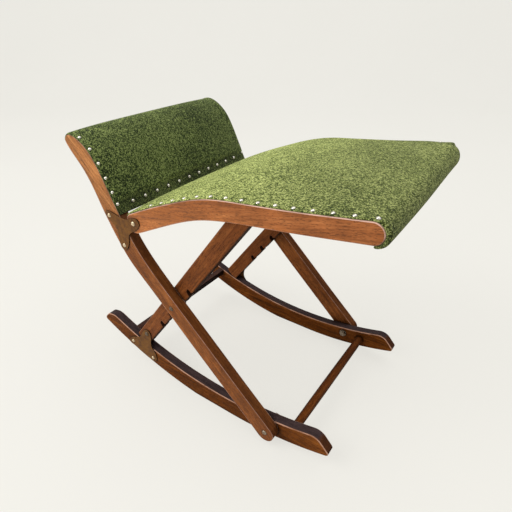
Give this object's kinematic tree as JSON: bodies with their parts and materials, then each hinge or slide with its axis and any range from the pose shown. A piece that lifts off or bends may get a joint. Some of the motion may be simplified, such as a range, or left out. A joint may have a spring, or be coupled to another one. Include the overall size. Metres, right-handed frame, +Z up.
{
  "type": "rocking kneeling bench",
  "caption": "Upholstered bench on curved rockers with a lifting padded seat, a padded footboard and crossed legs whose tilt is set by notched props.",
  "frame": {"origin": "on the floor, at the middle of the overall length and width", "axes": "+X towards the wide front end of the seat, +Z up, the footboard is at -X, the two sides mirror in Y"},
  "size_m": [0.5869, 0.367, 0.4936],
  "materials": {
    "mahogany": "polished, worn on the edges",
    "deal": "bare boards under the cloth",
    "moquette": "short mottled green pile",
    "bronze": "dark bronzed plate",
    "worn_steel": "dulled, domed heads",
    "nickel": "small bright domed heads"
  },
  "bodies": {
    "base": {"rocker_r": "mahogany", "rocker_l": "mahogany", "front_stretcher": "mahogany", "rear_rail": "mahogany", "lower_plate_r": "bronze", "lower_plate_l": "bronze", "lower_plate_rivets": "worn_steel", "prop_pivot_pins": "worn_steel", "leg_pivot_bolts": "worn_steel", "leg_pivot_washers": "worn_steel", "leg_pivot_nuts": "worn_steel"},
    "leg_frame": {"leg_r": "mahogany", "leg_l": "mahogany", "footboard_top_rail": "mahogany", "footboard_bottom_rail": "mahogany", "footboard_panel": "deal", "footboard_pad": "moquette", "footboard_nails": "nickel", "upper_plate_r": "bronze", "upper_plate_l": "bronze", "upper_plate_rivets": "worn_steel", "seat_pivot_pins": "worn_steel", "notch_pins": "worn_steel"},
    "prop_frame": {"prop_r": "mahogany", "prop_l": "mahogany", "prop_cross_rail": "mahogany"},
    "seat": {"seat_rail_r": "mahogany", "seat_rail_l": "mahogany", "seat_rear_rail": "mahogany", "seat_front_rail": "mahogany", "seat_deck": "deal", "seat_pad": "moquette", "seat_nails": "nickel"}
  },
  "joints": [
    {"name": "leg_tilt", "type": "hinge", "parent": "base", "child": "leg_frame", "pos_m": [0.13512, 0, 0.0322], "axis": [0, -1, 0], "range_deg": [-9.3, 18.8], "stiffness_Nm_per_rad": 40, "springref_deg": -4.76},
    {"name": "prop_swing", "type": "hinge", "parent": "base", "child": "prop_frame", "pos_m": [-0.16238, 0, 0.097], "axis": [0, -1, 0], "range_deg": [-9.4, 0], "stiffness_Nm_per_rad": 6, "springref_deg": 5.79},
    {"name": "seat_lift", "type": "hinge", "parent": "leg_frame", "child": "seat", "pos_m": [-0.12658, 0, 0.3614], "axis": [0, -1, 0], "range_deg": [0, 70]}
  ]
}
